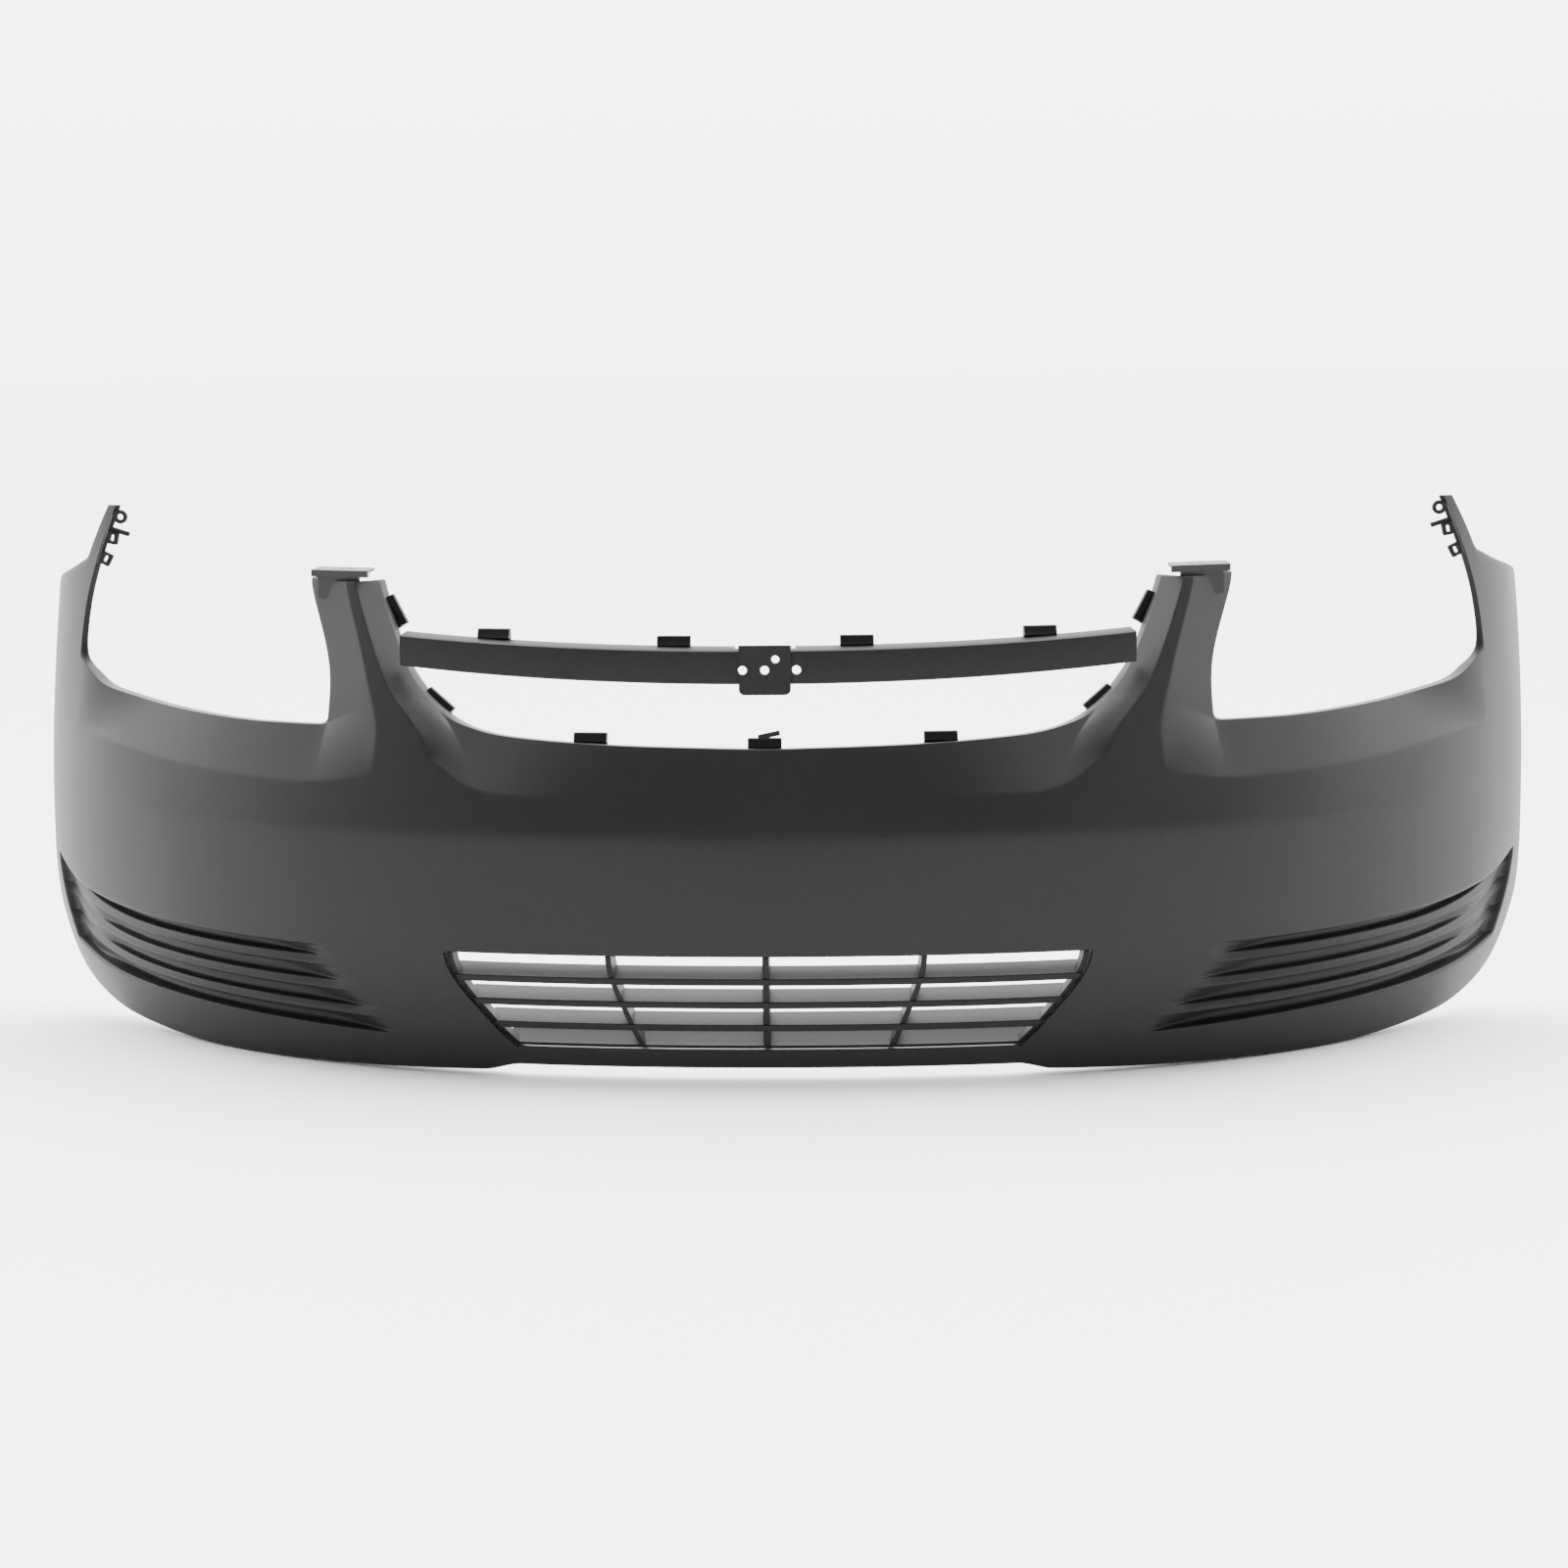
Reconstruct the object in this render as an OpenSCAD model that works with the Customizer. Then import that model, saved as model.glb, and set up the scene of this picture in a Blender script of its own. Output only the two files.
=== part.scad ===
// Front bumper cover for a compact saloon car.
// Frame: +X to the left side of the car, front faces -Y, +Z up, origin under the middle of the
// overall box, on the level of the lowest edge.
// The skin is one thin moulded shell. Every height line and every width line of it is a smooth
// curve through a few (position, value) points, and the shell is the grid where those lines meet.
// Both sides of the car are mirror images.

/* [Overall] */
// Half of the width of the plan curve
half_width = 850; // [800:1:900]
// Depth of the plan curve, nose to side
plan_depth = 600; // [520:1:680]
// Plan curve exponent, lower is squarer at the nose
plan_power = 0.87; // [0.75:0.01:1]
// Moulded wall thickness
wall = 3.2; // [2.4:0.1:4]

/* [Skin detail] */
// Depth of the step under the headlamps
ledge_depth = 20; // [5:1:30]
// Depth of the scoop beside the grille opening
bay_depth = 30; // [5:1:40]
// Depth of the corner louvre slots
louvre_depth = 15; // [5:1:20]
// Extra depth of the louvre field at its outer end
louvre_sink = 9; // [0:1:12]
// Depth of the return flange round the openings
flange = 14; // [8:1:20]
// Depth of the return flange on the inner edge of the fins
fin_flange = 7; // [6:0.5:12]
// Depth of the return flange under the bottom edge
bottom_flange = 32; // [15:1:45]

/* [Crossbar] */
// Height of the crossbar at its middle
bar_height = 34; // [32:1:44]
// Thickness of the crossbar, front to back
bar_thickness = 18; // [10:1:30]
// Height of the underside of the crossbar at its middle
bar_z = 404; // [395:1:415]
// Rise of the crossbar from its middle to its ends
bar_rise = 16; // [0:1:25]
// Width of the emblem plate
plate_width = 52.4; // [40:0.2:54]
// Height of the emblem plate
plate_height = 50; // [42:1:56]
// Diameter of the emblem locating holes
emblem_hole = 9; // [5:0.5:9.5]

/* [Lower grille] */
// Number of slats
slats = 3; // [2:1:5]
// Slat height at its front edge
slat_height = 7; // [5:0.5:10]
// Slat depth
slat_depth = 30; // [15:1:40]
// Rise of a slat towards the back
slat_rise = 9; // [0:1:12]
// Thickness of the upright ribs
rib = 6; // [4:0.5:10]

/* [Clips and brackets] */
// Width of a grille clip
clip_width = 34; // [24:1:44]
// Height of a grille clip above its edge
clip_height = 10; // [6:1:16]
// Diameter of the bracket holes
bracket_hole = 7; // [5:0.5:10]

/* [Output] */
// Sub-part to draw, or all

/* [Hidden] */
eps = 0.01;
// middle of the overall depth and the lowest edge, in the frame of the plan curve
origin = [0, 274.6, 1.01];

// ---- smooth curve through a table of points ----
function slope(t, k) = (t[k + 1][1] - t[k][1]) / (t[k + 1][0] - t[k][0]);
function tangent(t, k) =
    k == 0 ? slope(t, 0)
    : k == len(t) - 1 ? slope(t, k - 1)
    : let (a = slope(t, k - 1), b = slope(t, k)) a * b <= 0 ? 0 : 2 * a * b / (a + b);
function span(t, x, k = 0) = (k >= len(t) - 2 || t[k + 1][0] >= x) ? k : span(t, x, k + 1);
function curve(t, x) =
    x <= t[0][0] ? t[0][1]
    : x >= t[len(t) - 1][0] ? t[len(t) - 1][1]
    : let (k = span(t, x), h = t[k + 1][0] - t[k][0], u = (x - t[k][0]) / h)
        t[k][1] * (2 * pow(u, 3) - 3 * u * u + 1)
        + tangent(t, k) * h * (pow(u, 3) - 2 * u * u + u)
        + t[k + 1][1] * (3 * u * u - 2 * pow(u, 3))
        + tangent(t, k + 1) * h * (pow(u, 3) - u * u);
function step(a, b, x) = let (u = min(1, max(0, (x - a) / (b - a)))) u * u * (3 - 2 * u);

// ---- plan curve, walked by its length ----
plan_n = 90;
function plan_at(t) = [half_width * pow(sin(t), plan_power), plan_depth * (1 - cos(t))];
plan_pts = [for (k = [0:plan_n]) plan_at(90 * k / plan_n)];
function lengths(k = 0, sum = 0, out = []) =
    k > plan_n ? out
    : let (d = k == 0 ? 0 : norm(plan_pts[k] - plan_pts[k - 1]))
        lengths(k + 1, sum + d, concat(out, [[sum + d, 90 * k / plan_n]]));
plan_len = lengths();
function plan_angle(a) = lookup(a, plan_len);
function normal_at(t) =
    let (x = half_width * plan_power * pow(max(sin(t), 0.01), plan_power - 1) * cos(t),
        y = plan_depth * sin(t), q = norm([x, y]))
    t < 0.5 ? [0, -1] : [y / q, -x / q];
// point at distance s along the plan, h out from it, at height z
function at(s, h, z) =
    let (t = plan_angle(abs(s)), p = plan_at(t), n = normal_at(t), g = s < 0 ? -1 : 1)
    [g * (p[0] + n[0] * h), p[1] + n[1] * h, z] - origin;

// ---- height lines of the skin: distance along the plan, height ----
// level under the grille, a small step down, then up to the wheel arch
bottom_line = [[0, 16], [260, 16], [300, 8], [640, 1], [840, 16], [940, 50], [1005, 135]];
// upper edge of the lip
sill_line = [[0, 37], [260, 37], [400, 43], [750, 62], [920, 88], [960, 118], [1005, 152]];
// head of the lower opening, then of the louvres
lower_head_line = [[0, 136], [460, 136], [720, 143], [860, 156], [1015, 192]];
// where the cover stands out furthest
bulge_line = [[0, 255], [1160, 265]];
// crease under the ledge, with a hump below each column
crease_line = [[0, 292], [270, 296], [310, 305], [355, 330], [380, 328], [430, 310], [500, 302],
    [630, 308], [820, 325], [1160, 342]];
// sill of the grille opening, a hump at each column, then the sill of the headlamp
opening_line = [[0, 342], [200, 347], [280, 351], [345, 366], [370, 384], [402, 388], [460, 369],
    [500, 357], [560, 357], [700, 363], [835, 378], [895, 404], [940, 416], [1160, 430]];
// shoulder of the side panel, highest at the root of the fin
shoulder_line = [[0, 455], [520, 455], [870, 522], [915, 514], [960, 500], [1110, 478]];
// tops of the columns and of the fins
top_line = [[0, 503], [440, 503], [560, 506], [600, 573], [1160, 573]];
row_lines = [bottom_line, sill_line, lower_head_line, bulge_line, crease_line, opening_line,
    shoulder_line, top_line];

// ---- width lines of the skin: height, distance along the plan ----
centre_line = [[0, 0], [600, 0]];
inner_line = [[37, 215], [136, 262], [500, 262]];
// ends of the lower opening, then the inner edge of the column
grille_line = [[37, 262], [60, 284], [136, 331], [310, 306], [340, 322], [405, 393], [450, 424],
    [510, 458]];
// the two soft creases of the column
scoop_line = [[0, 290], [42, 300], [136, 362], [256, 352], [330, 353], [405, 412], [500, 466]];
column_line = [[0, 325], [42, 335], [136, 400], [256, 420], [345, 414], [405, 434], [500, 478]];
// outer edge of the column
lamp_inner_line = [[0, 375], [42, 387], [136, 462], [256, 480], [360, 489], [400, 493], [500, 540]];
lamp_low_line = [[0, 420], [136, 500], [360, 528], [600, 590]];
lamp_high_line = [[0, 790], [136, 815], [380, 835], [600, 835]];
// inner edge of the fin
lamp_outer_line = [[0, 830], [165, 870], [340, 886], [415, 900], [450, 900], [575, 864]];
// front edge of the side panel, leaning in to the tip of the fin
fin_line = [[0, 900], [90, 925], [180, 968], [250, 980], [330, 980], [410, 940], [510, 912],
    [575, 878]];
// wheel arch
arch_line = [[134, 1003], [280, 1025], [380, 1060], [480, 1110]];
col_lines = [centre_line, inner_line, grille_line, scoop_line, column_line, lamp_inner_line,
    lamp_low_line, lamp_high_line, lamp_outer_line, fin_line, arch_line];

// ---- master form: how far the skin stands in from the plan curve ----
lean_table = [[0, 0.33], [450, 0.33], [650, 0.21], [850, 0.15], [1000, 0.065], [1160, 0.05]];
bend_table = [[0, 0], [450, 0], [650, 0.00022], [850, 0.0001], [1160, 0.0001]];
tuck_table = [[0, 40], [300, 40], [650, 48], [850, 50], [1000, 42], [1160, 30]];
round_table = [[0, 18], [200, 8], [700, 8], [900, 60], [1160, 80]];
function ramp(d, r) = (sqrt(d * d + r * r) + d - r) / 2;
function stand_in(s, z) =
    let (a = abs(s), d = z - curve(bulge_line, a))
    -curve(lean_table, a) * ramp(d, curve(round_table, a))
    - curve(bend_table, a) * pow(max(d, 0), 2)
    - (z < 210 ? curve(tuck_table, a) * pow((210 - z) / 210, 2.6) : 0);

// ---- grid: cells between neighbouring lines ----
// louvre rows from the top: share of the field height, share of the slot depth.
// Each bar has a wall down to the floor of the slot above it and of the slot below it.
bars = 3;
bar_start = 0.15;
bar_share = 0.09;
bar_pitch = 0.285;
wall_share = 0.03;
slot_rows = concat([[0, 0], [0.025, 1]],
    [for (k = [0:bars - 1]) let (top = bar_start + k * bar_pitch, low = top + bar_share)
        each [[top - wall_share, 1], [top, 0.3], [low, 0.05], [low + wall_share, 1]]],
    [[0.965, 1], [1, 0]]);
col_cells = [6, 4, 3, 3, 4, 2, 9, 3, 3, 4];
row_cells = [2, len(slot_rows) - 1, 3, 2, 4, 3, 4];
function sums(v, k = 0, sum = 0, out = [0]) =
    k >= len(v) ? out : sums(v, k + 1, sum + v[k], concat(out, [sum + v[k]]));
cb = sums(col_cells);
rb = [for (v = sums(row_cells)) v + 1];
ni = cb[10] + 1;
nj = rb[7];
function cell(b, k, n = 0) = (n >= len(b) - 2 || k <= b[n + 1]) ? n : cell(b, k, n + 1);
function across(lines, b, k, x) =
    let (n = cell(b, k), g = (k - b[n]) / (b[n + 1] - b[n]),
        f = b == rb && n == 1 ? 1 - slot_rows[rb[2] - k][0] : g)
    curve(lines[n], x) * (1 - f) + curve(lines[n + 1], x) * f;
function meet(i, j, s, z, k = 0) =
    k > 16 ? [s, z]
    : let (z2 = (z + across(row_lines, rb, j, s)) / 2, s2 = (s + across(col_lines, cb, i, z2)) / 2)
        meet(i, j, s2, z2, k + 1);
cross_pts = [for (j = [1:nj]) [for (i = [0:cb[10]])
    let (s0 = across(col_lines, cb, i, 250)) meet(i, j, s0, across(row_lines, rb, j, s0))]];

// share of the way from the crease to the opening edge, and the recess it gives
function share(a, b, k) = min(1, max(0, (k - a) / (b - a)));
function recess(i, j, s) =
    j <= rb[4] ? 0
    : let (v = share(rb[4], rb[5], j), bay = 1 - share(cb[2], cb[3], i),
        lamp = share(cb[4], cb[5], i) * (1 - share(cb[8] - 2, cb[9] - 1, i)))
        bay > 0 ? bay_depth * step(120, 340, s) * (bay * v / (bay + v - bay * v + eps))
        : lamp > 0 ? ledge_depth * (lamp * v / (lamp + v - lamp * v + eps)) : 0;
function louvre(i, j, s) =
    (i <= cb[5] || i >= cb[9] || j <= rb[1] || j >= rb[2]) ? 0
    : -louvre_depth * slot_rows[rb[2] - j][1] * step(0, 60, s - cross_pts[j - 1][cb[5]][0])
        * (1 - 0.5 * step(820, 930, s)) - louvre_sink * step(640, 930, s);

// one grid node: [s, h, z] and the direction of the wall thickness
function node_at(i, j) =
    let (
        arch = i > cb[10],
        skirt = j == 0,
        low = j > rb[1] && j < rb[2] && i < cb[2],
        bay = j > rb[5] && i < cb[2],
        lamp = j > rb[5] && i > cb[5] && i < cb[8],
        ring = low || bay || lamp,
        ie = low && i == cb[2] - 1 ? cb[2]
            : bay && i == cb[2] - 1 ? cb[2]
            : lamp && i == cb[5] + 1 ? cb[5]
            : lamp && i == cb[8] - 1 ? cb[8]
            : arch ? cb[10] : i,
        je = low && j == rb[1] + 1 ? rb[1]
            : low && j == rb[2] - 1 ? rb[2]
            : (bay || lamp) && j == rb[5] + 1 ? rb[5]
            : skirt ? 1 : j,
        c = cross_pts[je - 1][ie],
        h = stand_in(c[0], c[1]) - recess(ie, je, c[0]) + louvre(ie, je, c[0]),
        back = ring ? (lamp && ie == cb[8] ? fin_flange : flange) : arch ? 18 : skirt ? bottom_flange : 0,
        on_low = je >= rb[1] && je <= rb[2] && ie <= cb[2],
        on_bay = je >= rb[5] && ie <= cb[2],
        on_lamp = je >= rb[5] && ie >= cb[5] && ie <= cb[8],
        ds = (on_low || on_bay) && ie == cb[2] ? 1
            : on_lamp && ie == cb[5] ? -1
            : on_lamp && ie == cb[8] ? 1
            : ie == cb[10] ? -1
            : je > rb[5] && ie > cb[2] && ie < cb[3] ? 1 - share(cb[2], cb[3], ie) : 0,
        dz = je == 1 ? 1
            : on_low && je == rb[1] ? -1
            : on_low && je == rb[2] ? 1
            : (on_bay || on_lamp) && je == rb[5] ? -1 : 0,
        dh = ring || arch || skirt ? 0 : -1
    )
    [[c[0], h - back, c[1] + (skirt ? 2 : 0)], [ds, dh, dz] * wall];
nodes = [for (j = [0:nj]) [for (i = [0:ni]) node_at(i, j)]];
function cell_on(i, j) =
    let (
        low = j >= rb[1] && j < rb[2] && i < cb[2],
        bay = j >= rb[5] && i < cb[2],
        lamp = j >= rb[5] && i >= cb[5] && i < cb[8]
    )
    i < 0 ? cell_on(-i - 1, j)
    : j < 0 || j >= nj || i > cb[10] ? false
    : j == 0 ? i < cb[10]
    : low ? (i == cb[2] - 1 || j == rb[1] || j == rb[2] - 1)
    : bay ? (i == cb[2] - 1 || (j == rb[5]))
    : lamp ? (i == cb[5] || i == cb[8] - 1 || j == rb[5])
    : j >= rb[6] ? i < cb[9]
    : true;
function outer_point(i, j) =
    let (n = nodes[j][abs(i)], g = i < 0 ? -1 : 1) at(g * n[0][0], n[0][1], n[0][2]);
function inner_point(i, j) =
    let (n = nodes[j][abs(i)], g = i < 0 ? -1 : 1, p = n[0] + n[1]) at(g * p[0], p[1], p[2]);

module bumper_skin() {
    w = 2 * ni + 1;
    outer = [for (j = [0:nj]) for (i = [-ni:ni]) outer_point(i, j)];
    inner = [for (j = [0:nj]) for (i = [-ni:ni]) inner_point(i, j)];
    m = len(outer);
    function id(i, j) = j * w + i + ni;
    faces = [for (j = [0:nj - 1]) for (i = [-ni:ni - 1]) if (cell_on(i, j)) each
        let (a = id(i, j), b = id(i + 1, j), c = id(i + 1, j + 1), d = id(i, j + 1)) concat(
            [[d, c, b], [d, b, a], [m + a, m + b, m + c], [m + a, m + c, m + d]],
            cell_on(i, j - 1) ? [] : [[a, b, m + b], [a, m + b, m + a]],
            cell_on(i, j + 1) ? [] : [[c, d, m + d], [c, m + d, m + c]],
            cell_on(i - 1, j) ? [] : [[d, a, m + a], [d, m + a, m + d]],
            cell_on(i + 1, j) ? [] : [[b, c, m + c], [b, m + c, m + b]])];
    color([0.22, 0.22, 0.23]) polyhedron(concat(outer, inner), faces, convexity = 12);
}

// closed solid through a row of rings with the same number of points
module loft(rings) {
    n = len(rings[0]);
    last = len(rings) - 1;
    sides = [for (k = [0:last - 1]) for (p = [0:n - 1])
        [k * n + p, k * n + (p + 1) % n, (k + 1) * n + (p + 1) % n, (k + 1) * n + p]];
    tris = [for (f = sides) each [[f[0], f[1], f[2]], [f[0], f[2], f[3]]]];
    caps = [[for (p = [n - 1:-1:0]) p], [for (p = [0:n - 1]) last * n + p]];
    polyhedron([for (r = rings) each r], concat(tris, caps), convexity = 6);
}
// local frame on the plan: X along it, Y inward, Z up
module on_plan(s, h, z) {
    n = normal_at(plan_angle(abs(s)));
    translate(at(s, h, z)) rotate([0, 0, (s < 0 ? -1 : 1) * atan2(n[0], -n[1])]) children();
}
module mirrored(side) scale([side, 1, 1]) children();

// ---- crossbar: a channel section swept between the two columns ----
bar_face = -58;
bar_end = 399;
function bar_low(s) = bar_z + bar_rise * pow(s / bar_end, 2);
function bar_ring(s) =
    let (z = bar_low(s), t = bar_height - 3 * pow(s / bar_end, 2), w = 3, b = bar_thickness)
    [for (q = [[0, 0], [0, t - 2], [-2, t], [-b, t + 3], [-b, t], [-w - 1.5, t - w + 0.5],
        [-w, t - w - 0.5], [-w, w], [2 - b, w], [2 - b, 0]]) at(s, bar_face + q[0], z + q[1])];
emblem_holes = [[-22.3, 418.5, emblem_hole], [0, 418.5, emblem_hole],
    [10.8, 429.5, emblem_hole - 1], [32, 418.5, emblem_hole]];
module emblem_bores() {
    for (q = emblem_holes)
        translate([q[0], -bar_face - 10, q[1]] - origin) rotate([-90, 0, 0])
            cylinder(h = 20, d = q[2], $fn = 48);
}
module upper_crossbar() {
    notch = plate_width / 2 + 2.2;
    color([0.24, 0.24, 0.25]) difference() {
        loft([for (k = [-16:16]) bar_ring(bar_end * k / 16)]);
        emblem_bores();
        for (side = [-1, 1])
            translate([side * notch - 2, 10 - bar_face, bar_z + bar_height] - origin)
                cube([4, 12, 10]);
    }
}
module emblem_plate() {
    r = 6;
    w = plate_width / 2;
    color([0.16, 0.16, 0.17]) difference() {
        translate([0, -bar_face, bar_z - 10.5] - origin) rotate([90, 0, 0]) linear_extrude(3)
            polygon(concat([[w, plate_height], [-w, plate_height]],
                [for (a = [180:15:270]) [r - w + r * cos(a), r + r * sin(a)]],
                [for (a = [270:15:360]) [w - r + r * cos(a), r + r * sin(a)]]));
        emblem_bores();
    }
}

// ---- lower grille insert: slats, upright ribs, cheeks and a sloping floor ----
grille_floor = 37.6;
grille_roof = 135.6;
grille_gap = 1.2;
function grille_point(f, back, z) =
    let (s = f * (curve(grille_line, z) - grille_gap)) at(s, stand_in(s, z) - 3 - back, z);
module grille_strip(profile, n = 20) {
    loft([for (k = [-n:n]) [for (q = profile) grille_point(k / n, q[0], q[1])]]);
}
module grille_rib(f, depth = slat_depth) {
    rows = 8;
    loft([for (k = [0:rows])
        let (z = grille_floor + 0.4 + (grille_roof - grille_floor - 0.8) * k / rows,
            w = rib / 2 / curve(grille_line, z))
        [grille_point(f + w, 2, z), grille_point(f - w, 2, z),
            grille_point(f - w, depth + 2, z), grille_point(f + w, depth + 2, z)]]);
}
module lower_grille() {
    pitch = (grille_roof - grille_floor) / (slats + 1);
    color([0.17, 0.17, 0.18]) union() {
        for (k = [1:slats]) let (z = grille_roof - k * pitch - 2)
            grille_strip([[0, z - slat_height / 2], [0, z + slat_height / 2],
                [slat_depth, z + slat_height / 2 + slat_rise],
                [slat_depth, z - slat_height / 2 + slat_rise]]);
        grille_strip([[2, grille_floor], [2, grille_floor + 3], [48, grille_floor + 24],
            [48, grille_floor + 21]]);
        grille_strip([[17, grille_roof - 2.4], [17, grille_roof], [slat_depth + 4, grille_roof],
            [slat_depth + 4, grille_roof - 2.4]]);
        for (f = [-0.485, 0, 0.485]) grille_rib(f);
        for (f = [-1, 1]) grille_rib(f * (1 - rib / 2 / 320), 16);
    }
}

// ---- spring clips: a lip over the edge and a leg behind it ----
module clip(h = clip_height) {
    translate([-clip_width / 2, 0, 0]) rotate([90, 0, 90]) linear_extrude(clip_width)
        polygon([[0.05, -9], [0.05, 0.05], [-4, 0.05], [-4, 3], [-1, h], [5, h], [5, -7], [3, -9]]);
}
module crossbar_grille_clips() {
    color([0.12, 0.12, 0.13])
        for (s = [-295, -96, 96, 295])
            on_plan(s, bar_face - bar_thickness, bar_low(s) + bar_height + 3 - 3 * pow(s / bar_end, 2))
                clip();
}
module sill_grille_clips() {
    color([0.12, 0.12, 0.13]) {
        for (s = [-182, 182]) let (z = curve(opening_line, abs(s)))
            on_plan(s, sill_back(s, z), z) clip();
        on_plan(0, sill_back(0, 342), 342) {
            clip();
            translate([-6, 0.5, clip_height - 2]) rotate([0, -12, 0]) cube([22, 3.5, 5]);
        }
    }
}
function sill_back(s, z) = stand_in(s, z) - bay_depth * step(120, 340, abs(s)) - flange;
module column_grille_clips(side) {
    color([0.12, 0.12, 0.13])
        for (z = [380, 470]) let (s = curve(grille_line, z),
            m = (curve(grille_line, z + 8) - curve(grille_line, z - 8)) / 16)
            on_plan(side * s, stand_in(s, z) - bay_depth - flange, z)
                rotate([0, -side * atan2(1, m), 0]) clip(clip_height - 3);
}
module left_column_grille_clips() column_grille_clips(1);
module right_column_grille_clips() column_grille_clips(-1);

// ---- fender retainers: a strip on the fin edge with a round eye, two slotted eyes and a finger ----
eye_hole = 6.5;
eye_reach = 6.2;
function edge_point(z, along, back) =
    let (s = curve(lamp_outer_line, z)) at(s - along, stand_in(s, z) - back, z);
module eye(z, reach, tilt) {
    translate(edge_point(z, 8.5, 1) + [-reach, 8.5, 0]) rotate([90, -tilt, 0])
        linear_extrude(6) children();
}
module slotted() {
    difference() {
        offset(r = 2) square([9, 10], center = true);
        offset(r = 1.6) square([0.2, 4], center = true);
    }
}
module fender_retainer(side) {
    color([0.13, 0.13, 0.14]) mirrored(side) union() {
        loft([for (k = [0:6]) let (z = 508 + 9 * k)
            [for (q = [[0.2, 1], [3.2, 1], [3.2, fin_flange - 1], [0.2, fin_flange - 1]])
                edge_point(z, q[0], q[1])]]);
        eye(560, eye_reach, 0) difference() {
            circle(d = 15, $fn = 48);
            circle(d = eye_hole, $fn = 48);
        }
        eye(537, 5.2, 12) slotted();
        eye(514, 5.4, 28) slotted();
        translate(edge_point(549.2, 2, 4)) rotate([0, 162, 0]) cube([21, 5, 5]);
    }
}
module left_fender_retainer() fender_retainer(1);
module right_fender_retainer() fender_retainer(-1);

// ---- column brackets: the drilled cap on top of each column ----
cap_top = 514;
cap_depth = 48;
cap_holes = [[446, 195], [436, 178]];
function cap_line(inset, ends) = [for (k = [0:4]) let (s = ends[0] + (ends[1] - ends[0]) * k / 4,
    p = at(s, stand_in(s, 500) - inset, 0)) [p[0], p[1]]];
function turn_back(v) = [for (k = [len(v) - 1:-1:0]) v[k]];
function set_back(v, y) = [for (p = v) p + [0, y]];
module column_bracket(side) {
    front = cap_line(wall + 0.3, [452, 526]);
    tongue = [466, 520];
    color([0.3, 0.3, 0.31]) mirrored(side) difference() {
        union() {
            translate([0, 0, cap_top - 3 - origin[2]]) linear_extrude(3)
                polygon(concat(front, turn_back(set_back(front, cap_depth))));
            translate([0, 0, cap_top - 7 - origin[2]]) linear_extrude(5)
                polygon(concat(front, turn_back(set_back(front, 12))));
            translate([0, 0, cap_top - 30 - origin[2]]) linear_extrude(25)
                polygon(concat(cap_line(wall + 4, tongue), turn_back(cap_line(wall + 7, tongue))));
        }
        for (q = cap_holes)
            translate([q[0], q[1], cap_top - 8] - origin) cylinder(h = 12, d = bracket_hole, $fn = 48);
    }
}
module left_column_bracket() column_bracket(1);
module right_column_bracket() column_bracket(-1);

bumper_skin();
upper_crossbar();
emblem_plate();
lower_grille();
crossbar_grille_clips();
left_column_grille_clips();
right_column_grille_clips();
sill_grille_clips();
left_fender_retainer();
right_fender_retainer();
left_column_bracket();
right_column_bracket();
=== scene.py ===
import math
import bpy
import bmesh
from mathutils import Matrix, Vector


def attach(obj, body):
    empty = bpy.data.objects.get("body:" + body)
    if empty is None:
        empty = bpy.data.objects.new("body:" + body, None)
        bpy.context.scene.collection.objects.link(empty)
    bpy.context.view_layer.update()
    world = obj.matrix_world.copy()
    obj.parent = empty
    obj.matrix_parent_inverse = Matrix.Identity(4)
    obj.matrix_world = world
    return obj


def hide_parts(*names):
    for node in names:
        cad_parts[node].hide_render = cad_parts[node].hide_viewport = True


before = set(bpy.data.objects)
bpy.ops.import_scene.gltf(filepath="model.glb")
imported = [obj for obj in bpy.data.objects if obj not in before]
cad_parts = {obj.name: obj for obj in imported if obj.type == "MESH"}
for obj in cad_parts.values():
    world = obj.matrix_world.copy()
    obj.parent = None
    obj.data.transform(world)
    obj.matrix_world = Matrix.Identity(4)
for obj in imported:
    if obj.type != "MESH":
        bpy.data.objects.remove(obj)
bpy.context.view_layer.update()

# Everything below is worked out in millimetres in the plan frame of the cover, and put into the
# shared frame by subtracting ORIGIN and scaling to metres.
ORIGIN = (0.0, 274.6, 1.01)
HALF_WIDTH, PLAN_DEPTH, PLAN_POWER = 850.0, 600.0, 0.87
WALL = 3.2
LEDGE, BAY, LOUVRE = 20.0, 30.0, 15.0
FLANGE, FIN_FLANGE, SKIRT = 14.0, 7.0, 32.0
# the smoothed faces bulge by a fraction of a millimetre, so points are drawn in by as much
DRAW_IN_X, DRAW_IN_Y, DRAW_UP = 0.9999, 0.9993, 0.02


# ---------------------------------------------------------------- curves and plan
def curve(tab, x):
    n = len(tab)
    if x <= tab[0][0]:
        return tab[0][1]
    if x >= tab[-1][0]:
        return tab[-1][1]
    i = 0
    while tab[i + 1][0] < x:
        i += 1

    def slope(k):
        return (tab[k + 1][1] - tab[k][1]) / (tab[k + 1][0] - tab[k][0])

    def tangent(k):
        if k == 0:
            return slope(0)
        if k == n - 1:
            return slope(n - 2)
        a, b = slope(k - 1), slope(k)
        return 0.0 if a * b <= 0 else 2 * a * b / (a + b)

    h = tab[i + 1][0] - tab[i][0]
    u = (x - tab[i][0]) / h
    return (tab[i][1] * (2 * u**3 - 3 * u * u + 1) + tangent(i) * h * (u**3 - 2 * u * u + u)
            + tab[i + 1][1] * (3 * u * u - 2 * u**3) + tangent(i + 1) * h * (u**3 - u * u))


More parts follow.
